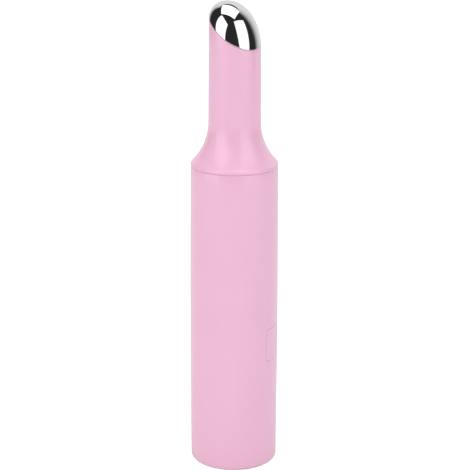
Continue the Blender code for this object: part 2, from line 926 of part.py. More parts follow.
def build_leaf():
    """The bent leaf that touches the ring contact, its foot on the chassis flange."""
    foot_height = flange_top + seal_gap + leaf_thickness / 2
    peak_height = pad_bottom - seal_gap - leaf_thickness / 2
    start = -leaf_length / 2
    rise_from = start + leaf_foot_length
    path = [(start, foot_height), (rise_from, foot_height)]
    for i in range(1, leaf_steps + 1):
        share = i / leaf_steps
        along = rise_from + (leaf_length - leaf_foot_length) * share
        lift = sin(share * radians(leaf_arch_deg))
        path.append((along, foot_height + (peak_height - foot_height) * lift))
    bm = bmesh.new()
    low, high = leaf_offset - leaf_width / 2, leaf_offset + leaf_width / 2
    rows = [[bm.verts.new((x, -y, z)) for y in (low, high)] for x, z in path]
    for one, other in zip(rows, rows[1:]):
        bm.faces.new((one[0], other[0], other[1], one[1]))
    mesh = bpy.data.meshes.new("ring_leaf")
    bm.to_mesh(mesh)
    bm.free()
    leaf = place("ring_leaf", mesh, parts, gold_contact)
    wall = leaf.modifiers.new("wall", "SOLIDIFY")
    wall.thickness = leaf_thickness
    wall.offset = 0
    settle(leaf)
    return leaf


def build_board():
    """The control board, its switch, chip and inductor, all on the side of the button."""
    block("control_board", (-board_half_width, -board_front, board_bottom),
          (board_half_width, -board_back, board_top), parts, board_green)
    board = bpy.data.objects["control_board"]
    for height in board_screw_heights():
        hole = disc("hole", board_screw_shank_radius + screw_hole_play / 2, -cut_overrun,
                    board_thickness + cut_overrun, cutters, segments=small_segments)
        cut(board, along_y(hole, board_back, height))

    well = plunger_well_depth + button_travel + seal_gap
    switch = block("switch_body", (-switch_half, -switch_front, button_centre - switch_half),
                   (switch_half, -switch_back, button_centre + switch_half), parts,
                   black_plastic)
    hole = disc("hole", plunger_radius + seal_gap, 0, well + cut_overrun, cutters,
                segments=small_segments)
    cut(switch, along_y(hole, switch_front - well, button_centre))
    plunger = disc("switch_plunger", plunger_radius, 0,
                   plunger_front - switch_front + plunger_well_depth, parts, white_plastic,
                   small_segments)
    along_y(plunger, switch_front - plunger_well_depth, button_centre)

    chip_back = board_front + seal_gap
    chip_middle = button_centre - chip_drop
    chip = block("driver_chip",
                 (-chip_width / 2, -chip_back - chip_height, chip_middle - chip_length / 2),
                 (chip_width / 2, -chip_back, chip_middle + chip_length / 2), parts,
                 black_plastic)
    for side in (-1, 1):
        for i in range(lead_count):
            height = chip_middle + (i - (lead_count - 1) / 2) * lead_pitch
            near, far = side * chip_width / 4, side * (chip_width / 2 + lead_reach)
            join(chip, block(
                "lead",
                (min(near, far), -chip_back - lead_thickness, height - lead_width / 2),
                (max(near, far), -chip_back, height + lead_width / 2),
                cutters,
            ))

    profile = [
        (0, inductor_height),
        (inductor_radius, inductor_height),
        (inductor_radius, inductor_height - inductor_flange),
        (inductor_neck_radius, inductor_height - inductor_flange),
        (inductor_neck_radius, inductor_flange),
        (inductor_radius, inductor_flange),
        (inductor_radius, 0),
        (0, 0),
    ]
    inductor = turned("inductor", profile, parts, ferrite)
    along_y(inductor, chip_back, button_centre - inductor_drop)


def build_button():
    """The oblong push button, flush with the barrel, with a flange that keeps it in."""
    def curved(name, inner, outer):
        reach = button_half_height + 2 * button_flange_margin
        return ring(name, inner, outer, button_centre - reach, button_centre + reach, cutters,
                    segments=2 * shell_segments)

    def kept(name, half_width, half_height, corner, inner, outer):
        front = outer + cut_overrun
        body = rounded_prism(name, half_width, half_height, corner, inner - cut_overrun, front,
                             cutters)
        return boolean(body, curved(name + "_curve", inner, outer), "INTERSECT")

    button = kept("power_button", button_half_width, button_half_height, button_corner,
                  (button_flange_inner + button_flange_outer) / 2, button_outer)
    margin = button_flange_margin
    flange = kept("flange", button_half_width + margin, button_half_height + margin,
                  button_corner + margin, button_flange_inner, button_flange_outer)
    join(button, flange)
    cutters.objects.unlink(button)
    parts.objects.link(button)
    button.hide_render = False
    button.display_type = "TEXTURED"
    button.data.materials.clear()
    button.data.materials.append(pink_plastic)
    return smooth(button)


def build_motor():
    """The small round motor: can, end cap, terminals, magnet ring, and the rubber sleeve."""
    bore = motor_radius - motor_wall
    hole = motor_shaft_radius + shaft_clearance
    turned(
        "motor_can",
        [
            (hole, motor_top + motor_nose_height),
            (motor_nose_radius, motor_top + motor_nose_height),
            (motor_nose_radius, motor_top),
            (motor_radius, motor_top),
            (motor_radius, motor_bottom),
            (bore, motor_bottom),
            (bore, motor_top - motor_wall),
            (hole, motor_top - motor_wall),
        ],
        parts,
        motor_steel,
        closed=True,
    )
    cap_top = motor_bottom + motor_cap_thickness
    disc("motor_end_cap", bore - seal_gap, motor_bottom, cap_top, parts, white_plastic)
    ring("magnet_ring", bore - seal_gap - magnet_thickness, bore - seal_gap,
         cap_top + seal_gap, motor_top - motor_wall - seal_gap, parts, ferrite)
    for name, side in (("terminal_plus", -1), ("terminal_minus", 1)):
        middle = side * terminal_offset
        block(name, (middle - terminal_thickness / 2, -terminal_width / 2,
                     motor_bottom - seal_gap - terminal_length),
              (middle + terminal_thickness / 2, terminal_width / 2, motor_bottom - seal_gap),
              parts, gold_contact)

    rib_pitch = (sleeve_top - sleeve_bottom) / (sleeve_rib_count + 1)
    outer = [(sleeve_outer, sleeve_top)]
    for i in range(sleeve_rib_count):
        middle = sleeve_top - rib_pitch * (i + 1)
        outer += [
            (sleeve_outer, middle + sleeve_rib_height / 2),
            (sleeve_outer - sleeve_rib_depth, middle + sleeve_rib_height / 2),
            (sleeve_outer - sleeve_rib_depth, middle - sleeve_rib_height / 2),
            (sleeve_outer, middle - sleeve_rib_height / 2),
        ]
    outer += [(sleeve_outer, sleeve_bottom)]
    inner = [(sleeve_inner, sleeve_bottom), (sleeve_inner, sleeve_top)]
    turned("motor_sleeve", outer + inner, parts, black_rubber, closed=True)


def build_rotor():
    """What spins: the shaft, the armature on it and the half-round weight at its end."""
    cap_top = motor_bottom + motor_cap_thickness
    shaft_low = cap_top + running_gap
    disc("motor_shaft", motor_shaft_radius, shaft_low, weight_top + shaft_end_rise, parts,
         motor_steel, small_segments)
    bore = motor_shaft_radius + shaft_clearance
    ring("armature", bore, armature_radius, shaft_low + armature_margin,
         motor_top - armature_margin, parts, tungsten, small_segments)
    weight = disc("eccentric_weight", weight_radius, weight_bottom, weight_top, parts, tungsten)
    reach = weight_radius + cut_overrun
    cut(weight, block("half", (-reach, 0, weight_bottom - cut_overrun),
                      (reach, reach, weight_top + cut_overrun), cutters))
    join(weight, disc("hub", shaft_hub_radius, weight_bottom, weight_top, cutters,
                      segments=small_segments))
    cut(weight, disc("bore", bore, weight_bottom - cut_overrun, weight_top + cut_overrun,
                     cutters, segments=small_segments))
    return smooth(weight)


def build_wires():
    """Two leads from the contact board up to the motor, and one from the leaf to the board."""
    low = disc_top + seal_gap
    high = motor_bottom - seal_gap - terminal_length / 2
    start = wire_hole_radius - wire_radius - seat_gap
    for name, side, finish in (("red_lead", -1, red_wire), ("blue_lead", 1, blue_wire)):
        terminal_side = side * (terminal_offset + terminal_thickness / 2 + seal_gap + wire_radius)
        points = [
            (side * start, 0, low),
            (side * start, 0, low + 4 * wire_radius),
            (terminal_side, 0, high - 4 * wire_radius),
            (terminal_side, 0, high),
        ]
        wire(name, rounded_route(points, wire_steps), wire_radius, finish)
    x = lead_notch_middle()
    notch_y = -(bore_radius + flange_radius - lead_notch_depth) / 2
    outer = leaf_offset + leaf_width / 2 + seal_gap
    foot = flange_top + seal_gap + wire_radius
    points = [
        (x, -outer, foot),
        (x, (notch_y - outer) / 2, foot),
        (x, notch_y, flange_top - wire_radius),
        (x, notch_y, flange_bottom - 2 * wire_radius),
        (x, -board_front - 3 * wire_radius, (board_top + flange_bottom) / 2),
        (x, -board_front - wire_radius - seal_gap, board_top),
        (x, -board_front - wire_radius - seal_gap, board_top - 4 * wire_radius),
    ]
    wire("leaf_lead", rounded_route(points, wire_steps), wire_radius, blue_wire)


def screw(name, shank_radius, head_radius, head_height, length, finish):
    """A small pan-head screw, its head's underside at zero and its shank going down."""
    profile = [
        (0, head_height),
        (head_radius * screw_crown_share, head_height),
        (head_radius, head_height / 2),
        (head_radius, 0),
        (shank_radius, 0),
        (shank_radius, shank_radius - length),
        (0, -length),
    ]
    return turned(name, profile, parts, finish, small_segments)


def slotted(item, head_height):
    """Cut the driver slot across the head."""
    half, reach = screw_slot_width / 2, screw_head_radius + cut_overrun
    return cut(item, block("slot", (-reach, -half, head_height - screw_slot_depth),
                           (reach, half, head_height + cut_overrun), cutters))


def build_screws():
    """Two screws hold the chassis, two hold the collar, and two hold the board."""
    for name, side in (("chassis_screw_left", -1), ("chassis_screw_right", 1)):
        item = screw(name, screw_shank_radius, screw_head_radius, screw_head_height,
                     screw_length, motor_steel)
        slotted(item, screw_head_height)
        moved(item, (side * boss_offset, 0, flange_top + seal_gap))
    turn_over = Matrix.Rotation(pi, 4, "X")
    for name, side in (("collar_screw_left", -1), ("collar_screw_right", 1)):
        item = screw(name, screw_shank_radius, screw_head_radius, screw_head_height,
                     screw_length, motor_steel)
        slotted(item, screw_head_height)
        item.data.transform(turn_over)
        moved(item, (side * neck_boss_offset, 0, web_bottom - seal_gap))
    names = ("board_screw_lower", "board_screw_upper")
    for name, height in zip(names, board_screw_heights()):
        item = screw(name, board_screw_shank_radius, board_screw_head_radius,
                     board_screw_head_height, board_screw_length - seal_gap, motor_steel)
        slotted(item, board_screw_head_height)
        along_y(item, board_front + seal_gap, height)


build_barrel()
build_neck()
build_massage_head()
build_seals()
build_collar()
build_contact_board()
build_cell()
build_chassis()
build_spring()
build_spring_contact()
build_leaf()
build_board()
build_button()
build_motor()
build_rotor()
build_wires()
build_screws()
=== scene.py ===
"""Looks of the eye massager: satin pink mouldings, a mirror-polished head, and what is inside.

Metres, +Z up. The button looks towards -Y, and the slanted massage face is turned a little from
it. The camera stands to the left of the front, as in the photo.
"""

import json
from math import cos, pi, radians, sin, sqrt, tan

import bmesh
import bpy
from mathutils import Matrix, Vector


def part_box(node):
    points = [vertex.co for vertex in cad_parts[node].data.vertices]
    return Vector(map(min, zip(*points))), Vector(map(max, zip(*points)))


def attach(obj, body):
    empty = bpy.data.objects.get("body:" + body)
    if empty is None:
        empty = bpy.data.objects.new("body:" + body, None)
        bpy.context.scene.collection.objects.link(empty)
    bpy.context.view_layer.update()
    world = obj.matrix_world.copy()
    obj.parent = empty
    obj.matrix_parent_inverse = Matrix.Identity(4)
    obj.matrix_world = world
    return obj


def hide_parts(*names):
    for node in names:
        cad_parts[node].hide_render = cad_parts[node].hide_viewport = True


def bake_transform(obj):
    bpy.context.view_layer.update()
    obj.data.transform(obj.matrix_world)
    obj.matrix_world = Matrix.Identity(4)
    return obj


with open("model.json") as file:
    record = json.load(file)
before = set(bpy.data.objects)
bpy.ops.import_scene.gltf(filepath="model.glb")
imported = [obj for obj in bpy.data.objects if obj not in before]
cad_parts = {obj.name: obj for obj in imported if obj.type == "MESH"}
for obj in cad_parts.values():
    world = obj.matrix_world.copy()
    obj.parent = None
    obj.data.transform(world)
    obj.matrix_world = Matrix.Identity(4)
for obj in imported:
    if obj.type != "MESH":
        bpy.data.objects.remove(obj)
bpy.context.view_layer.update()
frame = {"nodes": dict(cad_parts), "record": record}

# Camera
camera_azimuth = radians(-62.7)
camera_pitch = radians(17.0)
camera_reach = 0.471
camera_height = 0.21185
camera_roll = radians(0.2)
camera_lens = 132.1
camera_shift = 0.0016

# How close points are joined, in general and on a slanted cut, and how far inside the neck's
# radius a point of its rim may lie
weld_distance = 0.000002
cut_weld = 0.00002
rim_reach = 0.00001

# Casings
barrel_radius = 0.0125
barrel_taper = 0.0001
barrel_swell = 0.000196
barrel_wall = 0.0017
barrel_floor = 0.002
foot_fillet = 0.00115
mouth_fillet = 0.0002
mouth_chamfer = 0.0004
boss_radius = 0.0021
boss_length = 0.013
boss_sink = 0.0003
pilot_radius = 0.00105
pilot_depth = 0.0085
flange_thickness = 0.0016
seat_gap = 0.00025
seat_play = 0.00012
neck_boss_radius = 0.0016
neck_boss_length = 0.0062
neck_boss_offset = 0.006
neck_boss_cap = 0.0008
neck_radius = 0.00724
neck_foot_radius = 0.00742
neck_wall = 0.0017
shoulder_radius = 0.01238
shoulder_band = 0.0003
shoulder_fillet = 0.0007
shoulder_edge = 0.00005
seam_line = 0.00006
flare_end = radians(44.5)
skirt_bore = 0.01075
skirt_depth = 0.0009
motor_bore = 0.00575
spigot_bore = 0.00535
rim_slope = radians(35.1)
face_turn = radians(-18.6)
rim_round = 0.0005
rim_gap = 0.0002

# Massage head
dome_drop = 0.00114
dome_height = 0.00809
dome_forward = 0.00154
dome_lean = tan(radians(32.9))
dome_spread = 0.025
dome_edge_round = 0.00015
spigot_wall = 0.0011
spigot_cavity = 0.0075
spigot_length = 0.0085
spigot_groove_depth = 0.0006

# Button
button_half_width = 0.00342
button_half_height = 0.00492
button_corner = 0.00125
button_play = 0.00004
button_height = 0.0372
button_crown = 0.0001
button_depth = 0.0024
button_dish_depth = 0.00012
button_dish_width = 0.0021
button_dish_height = 0.0038
button_edge_round = 0.00016
opening_edge_round = 0.00005

# Thread, seals and contacts
thread_pitch = 0.0016
thread_turns = 2.75
thread_height = 0.00019
thread_root = 0.0011
thread_crest = 0.0003
thread_sink = 0.0001
thread_runout_share = 0.12
collar_radius = 0.01035
collar_bore = 0.0083
collar_top_radius = 0.0088
collar_ledge = 0.0011
collar_web = 0.0013
collar_edge = 0.00015
wire_hole = 0.0034
seal_groove_depth = 0.0009
seal_play = 0.0002
pad_edge = 0.00008
ring_pad_width = 0.00185
cell_edge = 0.0004
cell_nub = 0.0019
cell_nub_height = 0.001
cell_sleeve = 0.00015
cell_end_ring = 0.0009

# Studio: the white table and floor, and the glow that lifts them for the camera and for mirrors
studio_middle = Vector((0, 0, 0.13))
table_radius = 0.9
floor_radius = 6.0
floor_shade = 0.8
floor_glow = 0.62
floor_mirror_glow = 0.02
world_level = 0.53

# Soft boxes a metre away: degrees around from the camera, rise, width, height, roll and radiance
soft_boxes = (
    ("soft_box_left", -53.7, 18.1, 0.79, 1.58, -18.5, 1.32),
    ("soft_box_right", 49.3, 19.9, 0.84, 1.31, -10.4, 1.17),
    ("soft_box_above", 146, 86.2, 0.98, 0.82, 16.1, 1.4),
)
backdrop_fill = ("backdrop_fill", -125, 62, 0.9, 0.9, 0, 0.5)

# Room that the chrome sees: the levels of its wall by degrees around from the camera
room_radius = 1.5
room_columns = 72
room_rows = 24
room_foot = radians(-30)
room_dark = 0.024
room_dark_blue = 1.06
room_wall_top = radians(53)
room_wall_fade = radians(3)
room_wall = (
    (-180, 0.8), (-155, 0.78), (-138, 0.6), (-131, 0.2), (-126, 0.024), (98, 0.024),
    (103, 0.08), (110, 0.26), (120, 0.55), (140, 0.8), (180, 0.8),
)

# Spring, screws and board: a share of a screw is of its length, head, shank or thread pitch
spring_foot_radius = 0.0036
spring_top_radius = 0.0017
spring_wire = 0.0003
spring_turns = 4
screw_head_share = 0.16
board_screw_head_share = 0.28
screw_head_crown = 0.35
screw_shank_share = 0.52
screw_slot_width = 0.0004
screw_slot_depth = 0.00045
screw_thread_pitch = 0.0006
screw_thread_share = 0.22
screw_root_share = 0.9
screw_ridge_foot = 0.6
screw_ridge_lip = 0.1
resistor_size = (0.0016, 0.00045, 0.0008)
resistor_cap = 0.00035
resistor_cap_swell = 1.04
resistor_edge = 0.0000375
resistor_places = (
    (-0.55, 0.3), (0.55, 0.3), (-0.55, 0.42), (0.55, 0.42), (0.5, 0.13), (-0.5, 0.52),
)

# Fineness: steps along and around a form, and the angles that tell an edge from a flat join
coil_steps = 48
wire_sides = 14
fine_turn = 192
plain_turn = 96
flare_steps = 36
inner_flare_steps = 9
round_steps = 6
dome_steps = 44
side_steps = 20
rim_steps = 4
edge_steps = 3
small_steps = 2
ring_sides = 16
button_cuts = 12
opening_angle = radians(40)
flat_angle = radians(0.5)

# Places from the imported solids
barrel_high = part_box("barrel_shell")[1]
neck_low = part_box("neck_shell")[0]
collar_low, collar_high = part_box("threaded_collar")
head_low, head_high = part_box("massage_head")
cell_low, cell_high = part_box("battery_cell")
flange_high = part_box("chassis")[1]
seam_middle = (barrel_high.z + neck_low.z) / 2
barrel_top = seam_middle - seam_line / 2
neck_bottom = seam_middle + seam_line / 2
bore_radius = barrel_radius - barrel_wall
rim_height = head_low.z + spigot_length
spigot_radius = spigot_bore - seat_gap
rim_low = rim_height - neck_radius * tan(rim_slope)
uphill = Vector((-sin(face_turn), cos(face_turn)))
slant = Vector((*(uphill * -sin(rim_slope)), cos(rim_slope)))


def arc(centre, radius, start, end, steps):
    """Points of an arc as (radius, height)."""
    turn = [start + (end - start) * i / steps for i in range(steps + 1)]
    return [(centre[0] + radius * cos(a), centre[1] + radius * sin(a)) for a in turn]


def spun(profile, segments, closed=False):
    """Turn a profile of (radius, height) points a full turn about the Z axis."""
    bm = bmesh.new()
    verts = [bm.verts.new((radius, 0, height)) for radius, height in profile]
    edges = [bm.edges.new(pair) for pair in zip(verts, verts[1:])]
    if closed:
        edges.append(bm.edges.new((verts[-1], verts[0])))
    bmesh.ops.spin(
        bm, geom=verts + edges, cent=(0, 0, 0), axis=(0, 0, 1), dvec=(0, 0, 0),
        angle=2 * pi, steps=segments, use_merge=True, use_normal_flip=False,
        use_duplicate=False,
    )
    return tidied(bm)


def tidied(bm):
    """Close seams and poles, and turn all faces outwards."""
    bmesh.ops.remove_doubles(bm, verts=bm.verts, dist=weld_distance)
    bmesh.ops.recalc_face_normals(bm, faces=bm.faces)
    return bm


def as_object(name, bm):
    """Put a bmesh into a new object of the scene."""
    mesh = bpy.data.meshes.new(name)
    bm.to_mesh(mesh)
    bm.free()
    item = bpy.data.objects.new(name, mesh)
    bpy.context.scene.collection.objects.link(item)
    return item


def combined(bm, tool, operation):
    """Cut, join or intersect two closed shapes and give the result back as a bmesh."""
    item, other = as_object("work", bm), as_object("tool", tool)
    step = item.modifiers.new(operation, "BOOLEAN")
    step.operation = operation
    step.solver = "EXACT"
    step.object = other
    bpy.context.view_layer.update()
    result = item.evaluated_get(bpy.context.evaluated_depsgraph_get())
    out = bmesh.new()
    out.from_mesh(result.to_mesh())
    result.to_mesh_clear()
    for used in (item, other):
        mesh = used.data
        bpy.data.objects.remove(used, do_unlink=True)
        bpy.data.meshes.remove(mesh)
    return tidied(out)


def rounded_edges(bm, edges, width, segments=edge_steps):
    """Round the given edges."""
    bmesh.ops.bevel(
        bm, geom=edges, offset=width, offset_type="OFFSET", segments=segments, profile=0.5,
        affect="EDGES", clamp_overlap=True, material=-1,
    )


def joined_at_cut(bm, seat):
    """Join the points that lie close together on a slanted cut, so that its edge rounds well."""
    near = [v for v in bm.verts if abs((v.co - seat).dot(slant)) < cut_weld]
    for vert in near:
        vert.co -= slant * (vert.co - seat).dot(slant)
    bmesh.ops.remove_doubles(bm, verts=near, dist=cut_weld)
    bmesh.ops.recalc_face_normals(bm, faces=bm.faces)


def piece(name, bm, material, body, nodes=(), crease=30.0):
    """Make a finished piece from a bmesh: shading, finish, the body it rides on and its nodes."""
    item = as_object(name, bm)
    item.data.materials.append(material)
    item.data.shade_smooth()
    item.data.set_sharp_from_angle(angle=radians(crease))
    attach(item, body)
    if nodes:
        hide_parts(*nodes)


def grain_group():
    """Fine surface grain and slow variation of a moulded or cast surface."""
    group = bpy.data.node_groups.new("surface_grain", "ShaderNodeTree")
    face = group.interface
    face.new_socket("Vector", in_out="INPUT", socket_type="NodeSocketVector")
    face.new_socket("Fine Scale", in_out="INPUT", socket_type="NodeSocketFloat")
    face.new_socket("Slow Scale", in_out="INPUT", socket_type="NodeSocketFloat")
    face.new_socket("Grain", in_out="OUTPUT", socket_type="NodeSocketFloat")
    face.new_socket("Slow", in_out="OUTPUT", socket_type="NodeSocketFloat")
    nodes, links = group.nodes, group.links
    entry = nodes.new("NodeGroupInput")
    leave = nodes.new("NodeGroupOutput")
    for name, scale, detail in (("Grain", "Fine Scale", 3.0), ("Slow", "Slow Scale", 2.0)):
        texture = nodes.new("ShaderNodeTexNoise")
        texture.inputs["Detail"].default_value = detail
        links.new(entry.outputs["Vector"], texture.inputs["Vector"])
        links.new(entry.outputs[scale], texture.inputs["Scale"])
        links.new(texture.outputs["Fac"], leave.inputs[name])
    return group


surface_grain = grain_group()


def finish(name, colour, roughness, metallic=0.0, grain=3000.0, slow=60.0, tint=0.03,
           bump=0.000004, roughness_play=0.04, coat=0.0, coat_share=0.8):
    """A Principled material whose colour, roughness and height follow the surface grain."""
    made = bpy.data.materials.new(name)
    made.use_nodes = True
    nodes, links = made.node_tree.nodes, made.node_tree.links
    shader = nodes["Principled BSDF"]
    shader.inputs["Metallic"].default_value = metallic
    shader.inputs["Coat Weight"].default_value = coat
    shader.inputs["Coat Roughness"].default_value = roughness * coat_share
    place = nodes.new("ShaderNodeTexCoord")
    group = nodes.new("ShaderNodeGroup")
    group.node_tree = surface_grain
    group.inputs["Fine Scale"].default_value = grain
    group.inputs["Slow Scale"].default_value = slow
    links.new(place.outputs["Object"], group.inputs["Vector"])
    mix = nodes.new("ShaderNodeMix")
    mix.data_type = "RGBA"
    mix.inputs["A"].default_value = (*[c * (1 - tint) for c in colour], 1)
    mix.inputs["B"].default_value = (*[min(1, c * (1 + tint)) for c in colour], 1)
    links.new(group.outputs["Slow"], mix.inputs["Factor"])
    links.new(mix.outputs["Result"], shader.inputs["Base Color"])
    spread = nodes.new("ShaderNodeMapRange")
    spread.inputs["To Min"].default_value = roughness - roughness_play
    spread.inputs["To Max"].default_value = roughness + roughness_play
    links.new(group.outputs["Grain"], spread.inputs["Value"])
    links.new(spread.outputs["Result"], shader.inputs["Roughness"])
    relief = nodes.new("ShaderNodeBump")
    relief.inputs["Distance"].default_value = bump
    relief.inputs["Strength"].default_value = 1.0
    links.new(group.outputs["Grain"], relief.inputs["Height"])
    links.new(relief.outputs["Normal"], shader.inputs["Normal"])
    return made


pink_plastic = finish("pink_plastic", (0.85, 0.475, 0.65), 0.24, coat=0.6)
mirror_metal = finish("mirror_metal", (0.86, 0.86, 0.87), 0.035, metallic=1.0, tint=0.01,
                      bump=0.0000004, roughness_play=0.012)
white_plastic = finish("white_plastic", (0.76, 0.74, 0.7), 0.42)
board_green = finish("board_green", (0.016, 0.13, 0.06), 0.28, tint=0.2, slow=400.0)
black_plastic = finish("black_plastic", (0.012, 0.012, 0.013), 0.4)
black_rubber = finish("black_rubber", (0.014, 0.014, 0.015), 0.62, bump=0.000012)
bright_steel = finish("bright_steel", (0.55, 0.55, 0.56), 0.2, metallic=1.0)
gold_contact = finish("gold_contact", (0.72, 0.47, 0.13), 0.2, metallic=1.0)
dark_metal = finish("dark_metal", (0.19, 0.19, 0.2), 0.4, metallic=1.0)
ferrite = finish("ferrite", (0.03, 0.03, 0.03), 0.7)
cell_jacket = finish("cell_jacket", (0.05, 0.056, 0.07), 0.3)
red_wire = finish("red_wire", (0.46, 0.02, 0.02), 0.45)
blue_wire = finish("blue_wire", (0.015, 0.045, 0.26), 0.45)


def barrel_side(height):
    """The barrel's outer radius at a height: a slight taper and a slight swell."""
    share = height / barrel_top
    return barrel_radius - barrel_taper * share + 4 * barrel_swell * share * (1 - share)


def oblong(half_width, half_height, corner, low, high):
    """A rounded rectangle in X and Z about the button's centre, from depth low to high."""
    bm = bmesh.new()
    verts = []
    for quarter, (sx, sz) in enumerate(((1, 1), (-1, 1), (-1, -1), (1, -1))):
        for step in range(round_steps + 1):
            angle = (quarter + step / round_steps) * pi / 2
            x = sx * (half_width - corner) + corner * cos(angle)
            z = sz * (half_height - corner) + corner * sin(angle)
            verts.append(bm.verts.new((x, -low, button_height + z)))
    front = bm.faces.new(verts)
    grown = bmesh.ops.extrude_face_region(bm, geom=[front])
    outer = [v for v in grown["geom"] if isinstance(v, bmesh.types.BMVert)]
    bmesh.ops.translate(bm, vec=(0, low - high, 0), verts=outer)
    bmesh.ops.recalc_face_normals(bm, faces=bm.faces)
    return bm


def rod(radius, low, high):
    """A plain round rod, used as a tool."""
    return spun([(0, high), (radius, high), (radius, low), (0, low)], plain_turn // 2)


def shifted(bm, x):
    """Shift a shape along X."""
    bmesh.ops.translate(bm, vec=(x, 0, 0), verts=bm.verts)
    return bm


def seal_ring(name, node, groove, body):
    """A round rubber ring on the floor of its groove."""
    low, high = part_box(node)
    wire = (high.z - low.z) / 2
    middle = (groove + seal_play / 2 + wire, low.z + wire)
    section = arc(middle, wire, 0, -2 * pi, ring_sides)[:-1]
    piece(name, spun(section, fine_turn, closed=True), black_rubber, body,
          [node])


def make_barrel():
    """The lower casing with its rounded foot, button opening, screw bosses and chamfered mouth."""
    corner = (barrel_radius - foot_fillet, foot_fillet)
    mouth = (barrel_side(barrel_top) - mouth_fillet, barrel_top - mouth_fillet)
    heights = [barrel_top * (1 - i / side_steps) for i in range(1, side_steps)]
    outer = arc(mouth, mouth_fillet, pi / 2, 0, edge_steps)
    outer += [(barrel_side(z), z) for z in heights if z > 2 * foot_fillet]
    outer += arc(corner, foot_fillet, 0, -pi / 2, round_steps) + [(0, 0)]
    inner = [
        (0, barrel_floor),
        (bore_radius - foot_fillet / 2, barrel_floor),
        (bore_radius, barrel_floor + foot_fillet / 2),
        (bore_radius, barrel_top - mouth_chamfer),
        (bore_radius + mouth_chamfer, barrel_top),
    ]
    shell = spun(inner + outer, fine_turn)
    play = button_play
    opening = oblong(button_half_width + play, button_half_height + play,
                     button_corner + play, bore_radius - button_depth,
                     barrel_radius + button_depth)
    shell = combined(shell, opening, "DIFFERENCE")
    boss_top = flange_high.z - flange_thickness - seat_gap
    reach = bore_radius - boss_radius + boss_sink
    for side in (-1, 1):
        post = shifted(rod(boss_radius, boss_top - boss_length, boss_top), side * reach)
        shell = combined(shell, post, "UNION")
        pilot = rod(pilot_radius, boss_top - pilot_depth, boss_top + pilot_depth)
        shell = combined(shell, shifted(pilot, side * reach), "DIFFERENCE")
    around = [
        e for e in shell.edges
        if e.is_manifold and e.calc_face_angle(0) > opening_angle
        and all(v.co.y < 0 and abs(v.co.x) < button_half_width + 2 * play
                and abs(v.co.z - button_height) < button_half_height + 2 * play
                and v.co.xy.length > barrel_radius - mouth_fillet for v in e.verts)
    ]
    rounded_edges(shell, around, opening_edge_round)
    piece("barrel_casing", shell, pink_plastic, "barrel", ["barrel_shell"])


def make_neck():
    """The upper casing: shoulder, flare and slim neck, cut at a slant with a rounded rim."""
    band_top = neck_low.z + shoulder_band
    foot = (shoulder_radius - shoulder_fillet * (1 - cos(flare_end)),
            band_top + shoulder_fillet * sin(flare_end))
    flare = (foot[0] - neck_foot_radius) / (1 - cos(flare_end))
    centre = (neck_foot_radius + flare, foot[1] + flare * sin(flare_end))
    top = head_high.z
    outer = [(neck_radius, top), (neck_radius, rim_low)]
    outer += arc(centre, flare, pi, pi + flare_end, flare_steps)
    outer += arc((shoulder_radius - shoulder_fillet, band_top), shoulder_fillet, flare_end, 0,
                 round_steps)[1:]
    outer += arc((shoulder_radius - shoulder_edge, neck_bottom + shoulder_edge), shoulder_edge,
                 0, -pi / 2, edge_steps)
    inner = [(skirt_bore, neck_bottom), (skirt_bore, neck_bottom + skirt_depth)]
    inner_flare = arc(centre, flare + neck_wall, pi, pi + flare_end, inner_flare_steps)
    for radius, height in reversed(inner_flare):
        if height > inner[1][1] and radius > motor_bore:
            inner.append((radius, height))
    inner.append((motor_bore, inner[-1][1] + neck_wall))
    inner += [(motor_bore, head_low.z), (spigot_bore, head_low.z), (spigot_bore, top)]
    shell = spun(outer + inner, fine_turn, closed=True)
    bmesh.ops.bisect_plane(
        shell, geom=shell.verts[:] + shell.edges[:] + shell.faces[:], dist=0,
        plane_co=(0, 0, rim_height), plane_no=slant, clear_outer=True, clear_inner=False,
    )
    open_edges = [e for e in shell.edges if e.is_boundary]
    bmesh.ops.bridge_loops(shell, edges=open_edges)
    joined_at_cut(shell, Vector((0, 0, rim_height)))
    rim = [
        e for e in shell.edges
        if all(abs((v.co - Vector((0, 0, rim_height))).dot(slant)) < weld_distance
               and v.co.xy.length > neck_radius - rim_reach for v in e.verts)
    ]
    rounded_edges(shell, rim, rim_round, rim_steps)
    boss_foot = collar_high.z + seat_gap
    for side in (-1, 1):
        post = rod(neck_boss_radius, boss_foot, boss_foot + neck_boss_length)
        shell = combined(shell, shifted(post, side * neck_boss_offset), "UNION")
        pilot = rod(pilot_radius, boss_foot - pilot_radius,
                    boss_foot + neck_boss_length - neck_boss_cap)
        shell = combined(shell, shifted(pilot, side * neck_boss_offset), "DIFFERENCE")
    piece("neck_casing", shell, pink_plastic, "head_section", ["neck_shell"])


def cut_at_slant(bm, height, keep_above):
    """Cut a closed shape along the neck's slant at a height on the axis, and close the cut."""
    seat = Vector((0, 0, height))
    bmesh.ops.bisect_plane(
        bm, geom=bm.verts[:] + bm.edges[:] + bm.faces[:], dist=0, plane_co=seat,
        plane_no=slant, clear_outer=not keep_above, clear_inner=keep_above,
    )
    bmesh.ops.contextual_create(bm, geom=[e for e in bm.edges if e.is_boundary])
    joined_at_cut(bm, seat)
    return [
        e for e in bm.edges
        if all(abs((v.co - seat).dot(slant)) < weld_distance for v in e.verts)
    ]


